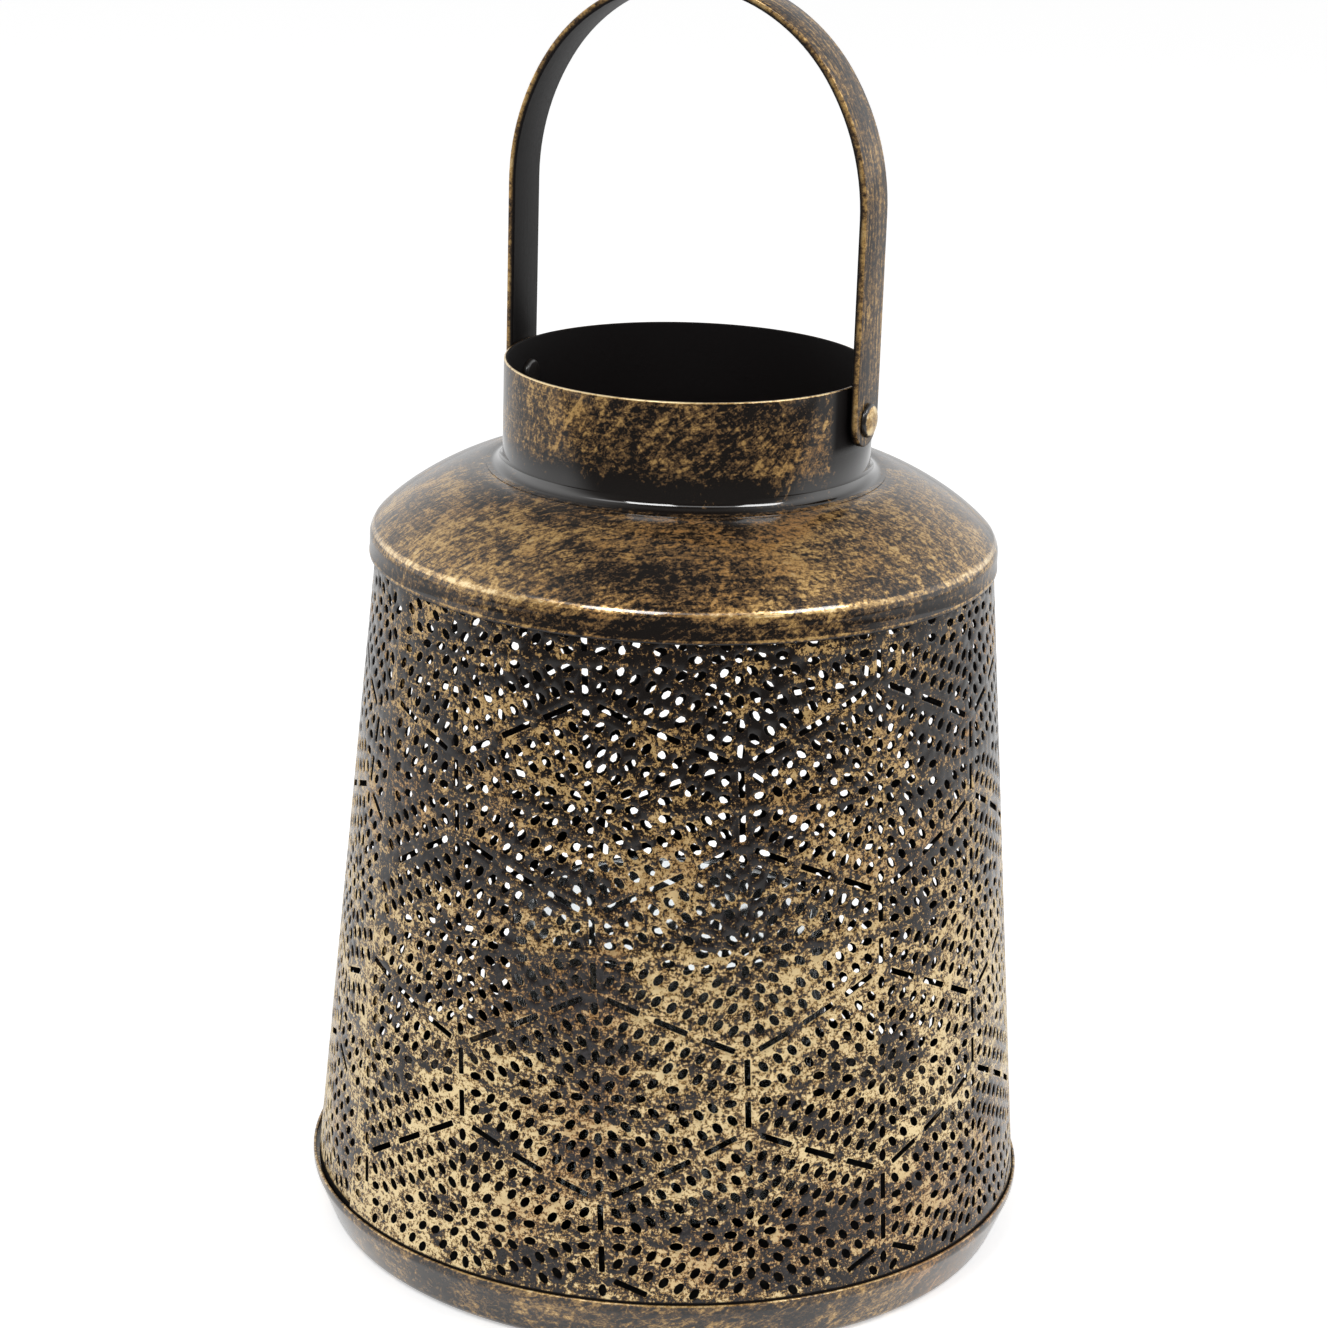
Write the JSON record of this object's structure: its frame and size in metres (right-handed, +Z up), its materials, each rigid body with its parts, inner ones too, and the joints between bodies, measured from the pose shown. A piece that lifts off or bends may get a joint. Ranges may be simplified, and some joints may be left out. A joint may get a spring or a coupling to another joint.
{
  "type": "punched tin lantern",
  "caption": "Tapered candle lantern of punched tin sheet in a shallow pan, with a domed shoulder, open neck, swinging strap handle and a loose glass cup.",
  "frame": {"origin": "middle of the base pan's underside, on the surface that the lantern stands on", "axes": "+Z up, X along the handle's pivot, the picture looks from 26 degrees right of -Y"},
  "size_m": [0.2, 0.2, 0.3436],
  "materials": {
    "pan_tin": "glossy lacquer over dark tin, gold worn along the lip",
    "punched_tin": "rubbed antique gold over charcoal, glossy lacquer",
    "shoulder_tin": "glossy charcoal with rubbed gold streaks",
    "neck_tin": "mottled gold and brown, black inside",
    "strap_iron": "brushed brown gold outside, dark satin inside",
    "rivet_brass": "dulled brass",
    "cup_glass": "clear, smooth"
  },
  "bodies": {
    "lantern": {"base_pan": "pan_tin", "body_panel_front": "punched_tin", "body_panel_rear": "punched_tin", "shoulder": "shoulder_tin", "neck_collar": "neck_tin", "bail_rivets": "rivet_brass"},
    "bail": {"bail_strap": "strap_iron"},
    "cup": {"candle_cup": "cup_glass"}
  },
  "joints": [
    {"name": "bail_swing", "type": "hinge", "parent": "lantern", "child": "bail", "pos_m": [0, 0, 0.2335], "axis": [1, 0, 0], "range_deg": [-108, 108]},
    {"name": "cup_lift", "type": "slide", "parent": "lantern", "child": "cup", "axis": [0, 0, 1], "range_m": [0, 0.21]}
  ]
}
